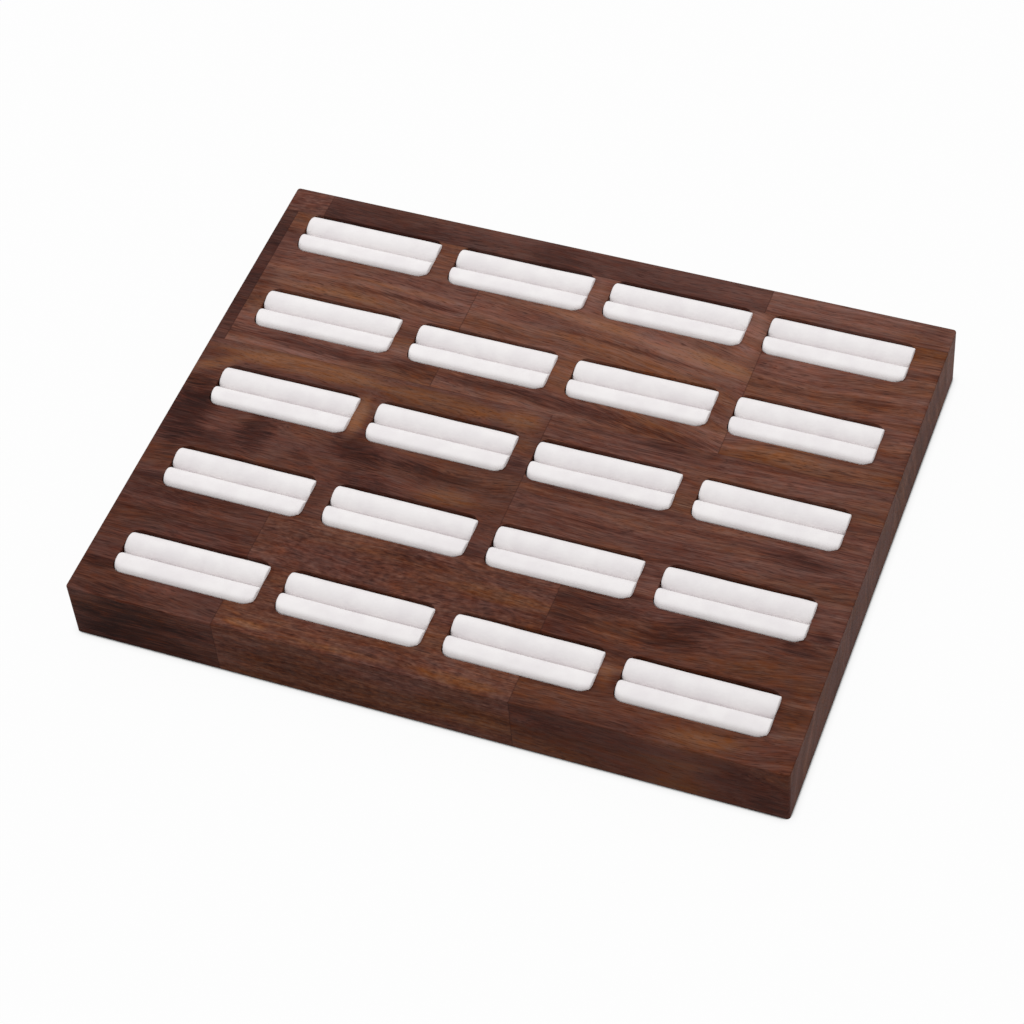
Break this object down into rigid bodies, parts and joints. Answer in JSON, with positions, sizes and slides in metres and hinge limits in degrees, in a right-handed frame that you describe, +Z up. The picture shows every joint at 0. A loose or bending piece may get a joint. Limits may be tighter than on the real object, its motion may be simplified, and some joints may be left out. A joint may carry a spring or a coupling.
{
  "type": "jewellery display tray",
  "caption": "Flat walnut display tray with a grid of milled pockets, each holding a lift-out insert of two padded white rolls that grip jewellery in the slit between them.",
  "frame": {"origin": "centre of the tray's flat underside, on the surface that it stands on", "axes": "+X to the right along the front edge, the tray's longest side; +Y from front to back; +Z up"},
  "size_m": [0.252, 0.2, 0.0256],
  "materials": {
    "walnut_light": "satin",
    "walnut_mid": "satin",
    "walnut_dark": "satin",
    "insert_cloth": "matte",
    "insert_foam": "matte"
  },
  "bodies": {
    "board": {"stave_back_1": "walnut_mid", "stave_back_2": "walnut_dark", "stave_back_3": "walnut_light", "stave_upper_1": "walnut_dark", "stave_upper_2": "walnut_light", "stave_upper_3": "walnut_light", "stave_upper_4": "walnut_light", "stave_lower_1": "walnut_mid", "stave_lower_2": "walnut_mid", "stave_front_1": "walnut_dark", "stave_front_2": "walnut_mid", "stave_front_3": "walnut_mid"},
    "insert_r1_c1": {"insert_r1_c1_cover": "insert_cloth", "insert_r1_c1_foam": "insert_foam"},
    "insert_r1_c2": {"insert_r1_c2_cover": "insert_cloth", "insert_r1_c2_foam": "insert_foam"},
    "insert_r1_c3": {"insert_r1_c3_cover": "insert_cloth", "insert_r1_c3_foam": "insert_foam"},
    "insert_r1_c4": {"insert_r1_c4_cover": "insert_cloth", "insert_r1_c4_foam": "insert_foam"},
    "insert_r2_c1": {"insert_r2_c1_cover": "insert_cloth", "insert_r2_c1_foam": "insert_foam"},
    "insert_r2_c2": {"insert_r2_c2_cover": "insert_cloth", "insert_r2_c2_foam": "insert_foam"},
    "insert_r2_c3": {"insert_r2_c3_cover": "insert_cloth", "insert_r2_c3_foam": "insert_foam"},
    "insert_r2_c4": {"insert_r2_c4_cover": "insert_cloth", "insert_r2_c4_foam": "insert_foam"},
    "insert_r3_c1": {"insert_r3_c1_cover": "insert_cloth", "insert_r3_c1_foam": "insert_foam"},
    "insert_r3_c2": {"insert_r3_c2_cover": "insert_cloth", "insert_r3_c2_foam": "insert_foam"},
    "insert_r3_c3": {"insert_r3_c3_cover": "insert_cloth", "insert_r3_c3_foam": "insert_foam"},
    "insert_r3_c4": {"insert_r3_c4_cover": "insert_cloth", "insert_r3_c4_foam": "insert_foam"},
    "insert_r4_c1": {"insert_r4_c1_cover": "insert_cloth", "insert_r4_c1_foam": "insert_foam"},
    "insert_r4_c2": {"insert_r4_c2_cover": "insert_cloth", "insert_r4_c2_foam": "insert_foam"},
    "insert_r4_c3": {"insert_r4_c3_cover": "insert_cloth", "insert_r4_c3_foam": "insert_foam"},
    "insert_r4_c4": {"insert_r4_c4_cover": "insert_cloth", "insert_r4_c4_foam": "insert_foam"},
    "insert_r5_c1": {"insert_r5_c1_cover": "insert_cloth", "insert_r5_c1_foam": "insert_foam"},
    "insert_r5_c2": {"insert_r5_c2_cover": "insert_cloth", "insert_r5_c2_foam": "insert_foam"},
    "insert_r5_c3": {"insert_r5_c3_cover": "insert_cloth", "insert_r5_c3_foam": "insert_foam"},
    "insert_r5_c4": {"insert_r5_c4_cover": "insert_cloth", "insert_r5_c4_foam": "insert_foam"}
  },
  "joints": [
    {"name": "lift_r1_c1", "type": "slide", "parent": "board", "child": "insert_r1_c1", "axis": [0, 0, 1], "range_m": [0, 0.02]},
    {"name": "lift_r1_c2", "type": "slide", "parent": "board", "child": "insert_r1_c2", "axis": [0, 0, 1], "range_m": [0, 0.02]},
    {"name": "lift_r1_c3", "type": "slide", "parent": "board", "child": "insert_r1_c3", "axis": [0, 0, 1], "range_m": [0, 0.02]},
    {"name": "lift_r1_c4", "type": "slide", "parent": "board", "child": "insert_r1_c4", "axis": [0, 0, 1], "range_m": [0, 0.02]},
    {"name": "lift_r2_c1", "type": "slide", "parent": "board", "child": "insert_r2_c1", "axis": [0, 0, 1], "range_m": [0, 0.02]},
    {"name": "lift_r2_c2", "type": "slide", "parent": "board", "child": "insert_r2_c2", "axis": [0, 0, 1], "range_m": [0, 0.02]},
    {"name": "lift_r2_c3", "type": "slide", "parent": "board", "child": "insert_r2_c3", "axis": [0, 0, 1], "range_m": [0, 0.02]},
    {"name": "lift_r2_c4", "type": "slide", "parent": "board", "child": "insert_r2_c4", "axis": [0, 0, 1], "range_m": [0, 0.02]},
    {"name": "lift_r3_c1", "type": "slide", "parent": "board", "child": "insert_r3_c1", "axis": [0, 0, 1], "range_m": [0, 0.02]},
    {"name": "lift_r3_c2", "type": "slide", "parent": "board", "child": "insert_r3_c2", "axis": [0, 0, 1], "range_m": [0, 0.02]},
    {"name": "lift_r3_c3", "type": "slide", "parent": "board", "child": "insert_r3_c3", "axis": [0, 0, 1], "range_m": [0, 0.02]},
    {"name": "lift_r3_c4", "type": "slide", "parent": "board", "child": "insert_r3_c4", "axis": [0, 0, 1], "range_m": [0, 0.02]},
    {"name": "lift_r4_c1", "type": "slide", "parent": "board", "child": "insert_r4_c1", "axis": [0, 0, 1], "range_m": [0, 0.02]},
    {"name": "lift_r4_c2", "type": "slide", "parent": "board", "child": "insert_r4_c2", "axis": [0, 0, 1], "range_m": [0, 0.02]},
    {"name": "lift_r4_c3", "type": "slide", "parent": "board", "child": "insert_r4_c3", "axis": [0, 0, 1], "range_m": [0, 0.02]},
    {"name": "lift_r4_c4", "type": "slide", "parent": "board", "child": "insert_r4_c4", "axis": [0, 0, 1], "range_m": [0, 0.02]},
    {"name": "lift_r5_c1", "type": "slide", "parent": "board", "child": "insert_r5_c1", "axis": [0, 0, 1], "range_m": [0, 0.02]},
    {"name": "lift_r5_c2", "type": "slide", "parent": "board", "child": "insert_r5_c2", "axis": [0, 0, 1], "range_m": [0, 0.02]},
    {"name": "lift_r5_c3", "type": "slide", "parent": "board", "child": "insert_r5_c3", "axis": [0, 0, 1], "range_m": [0, 0.02]},
    {"name": "lift_r5_c4", "type": "slide", "parent": "board", "child": "insert_r5_c4", "axis": [0, 0, 1], "range_m": [0, 0.02]}
  ]
}
